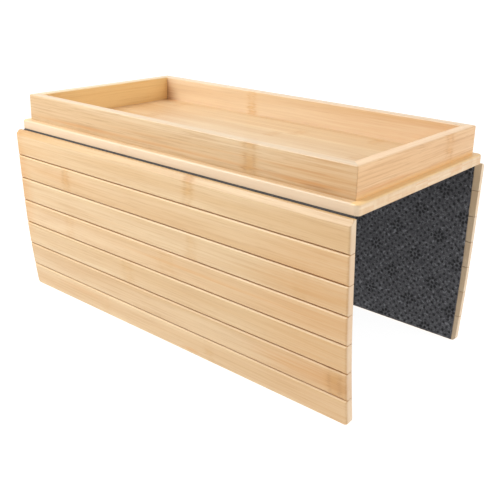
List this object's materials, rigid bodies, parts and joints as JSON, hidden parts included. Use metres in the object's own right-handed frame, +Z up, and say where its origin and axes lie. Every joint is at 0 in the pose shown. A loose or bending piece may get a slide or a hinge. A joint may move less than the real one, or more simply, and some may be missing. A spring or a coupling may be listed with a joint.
{
  "type": "sofa arm tray",
  "caption": "Shallow rectangular bamboo tray whose felt-lined slatted flaps hang down both sides of a sofa arm and hold it there.",
  "frame": {"origin": "centre of the felt face under the board, where the tray rests on the sofa arm", "axes": "+X along the sofa arm and the tray's length, +Y across it towards the back flap, +Z up"},
  "size_m": [0.413, 0.2272, 0.2133],
  "materials": {
    "bamboo_board": "satin clear-coated bamboo, grain along the length",
    "bamboo_wall": "satin clear-coated bamboo in laminated strips",
    "bamboo_slat": "satin clear-coated bamboo, grain along the slat",
    "felt": "charcoal non-slip felt with small black dots"
  },
  "bodies": {
    "tray": {"base_board": "bamboo_board", "front_wall": "bamboo_wall", "back_wall": "bamboo_wall", "left_wall": "bamboo_wall", "right_wall": "bamboo_wall", "arm_felt": "felt"},
    "front_slat_1": {"front_slat_1": "bamboo_slat", "front_felt_1": "felt"},
    "front_slat_2": {"front_slat_2": "bamboo_slat", "front_felt_2": "felt"},
    "front_slat_3": {"front_slat_3": "bamboo_slat", "front_felt_3": "felt"},
    "front_slat_4": {"front_slat_4": "bamboo_slat", "front_felt_4": "felt"},
    "front_slat_5": {"front_slat_5": "bamboo_slat", "front_felt_5": "felt"},
    "front_slat_6": {"front_slat_6": "bamboo_slat", "front_felt_6": "felt"},
    "front_slat_7": {"front_slat_7": "bamboo_slat", "front_felt_7": "felt"},
    "back_slat_1": {"back_slat_1": "bamboo_slat", "back_felt_1": "felt"},
    "back_slat_2": {"back_slat_2": "bamboo_slat", "back_felt_2": "felt"},
    "back_slat_3": {"back_slat_3": "bamboo_slat", "back_felt_3": "felt"},
    "back_slat_4": {"back_slat_4": "bamboo_slat", "back_felt_4": "felt"},
    "back_slat_5": {"back_slat_5": "bamboo_slat", "back_felt_5": "felt"},
    "back_slat_6": {"back_slat_6": "bamboo_slat", "back_felt_6": "felt"},
    "back_slat_7": {"back_slat_7": "bamboo_slat", "back_felt_7": "felt"}
  },
  "joints": [
    {"name": "front_flap_hinge", "type": "hinge", "parent": "tray", "child": "front_slat_1", "pos_m": [0, -0.1058, 0], "axis": [-1, 0, 0], "range_deg": [-27.1, 102.9]},
    {"name": "front_slat_hinge_2", "type": "hinge", "parent": "front_slat_1", "child": "front_slat_2", "pos_m": [0, -0.10447, -0.02627], "axis": [1, 0, 0], "range_deg": [-1.6, 44.9]},
    {"name": "front_slat_hinge_3", "type": "hinge", "parent": "front_slat_2", "child": "front_slat_3", "pos_m": [0, -0.10316, -0.05133], "axis": [1, 0, 0], "range_deg": [-1.8, 44.7]},
    {"name": "front_slat_hinge_4", "type": "hinge", "parent": "front_slat_3", "child": "front_slat_4", "pos_m": [0, -0.10171, -0.07639], "axis": [1, 0, 0], "range_deg": [-2.4, 44.1]},
    {"name": "front_slat_hinge_5", "type": "hinge", "parent": "front_slat_4", "child": "front_slat_5", "pos_m": [0, -0.09987, -0.10142], "axis": [1, 0, 0], "range_deg": [-3, 43.5]},
    {"name": "front_slat_hinge_6", "type": "hinge", "parent": "front_slat_5", "child": "front_slat_6", "pos_m": [0, -0.09738, -0.1264], "axis": [1, 0, 0], "range_deg": [-3.2, 43.3]},
    {"name": "front_slat_hinge_7", "type": "hinge", "parent": "front_slat_6", "child": "front_slat_7", "pos_m": [0, -0.09415, -0.15129], "axis": [1, 0, 0], "range_deg": [-2.1, 44.4]},
    {"name": "back_flap_hinge", "type": "hinge", "parent": "tray", "child": "back_slat_1", "pos_m": [0, 0.1058, 0], "axis": [1, 0, 0], "range_deg": [-27.1, 102.9]},
    {"name": "back_slat_hinge_2", "type": "hinge", "parent": "back_slat_1", "child": "back_slat_2", "pos_m": [0, 0.10447, -0.02627], "axis": [-1, 0, 0], "range_deg": [-1.6, 44.9]},
    {"name": "back_slat_hinge_3", "type": "hinge", "parent": "back_slat_2", "child": "back_slat_3", "pos_m": [0, 0.10316, -0.05133], "axis": [-1, 0, 0], "range_deg": [-1.8, 44.7]},
    {"name": "back_slat_hinge_4", "type": "hinge", "parent": "back_slat_3", "child": "back_slat_4", "pos_m": [0, 0.10171, -0.07639], "axis": [-1, 0, 0], "range_deg": [-2.4, 44.1]},
    {"name": "back_slat_hinge_5", "type": "hinge", "parent": "back_slat_4", "child": "back_slat_5", "pos_m": [0, 0.09987, -0.10142], "axis": [-1, 0, 0], "range_deg": [-3, 43.5]},
    {"name": "back_slat_hinge_6", "type": "hinge", "parent": "back_slat_5", "child": "back_slat_6", "pos_m": [0, 0.09738, -0.1264], "axis": [-1, 0, 0], "range_deg": [-3.2, 43.3]},
    {"name": "back_slat_hinge_7", "type": "hinge", "parent": "back_slat_6", "child": "back_slat_7", "pos_m": [0, 0.09415, -0.15129], "axis": [-1, 0, 0], "range_deg": [-2.1, 44.4]}
  ]
}
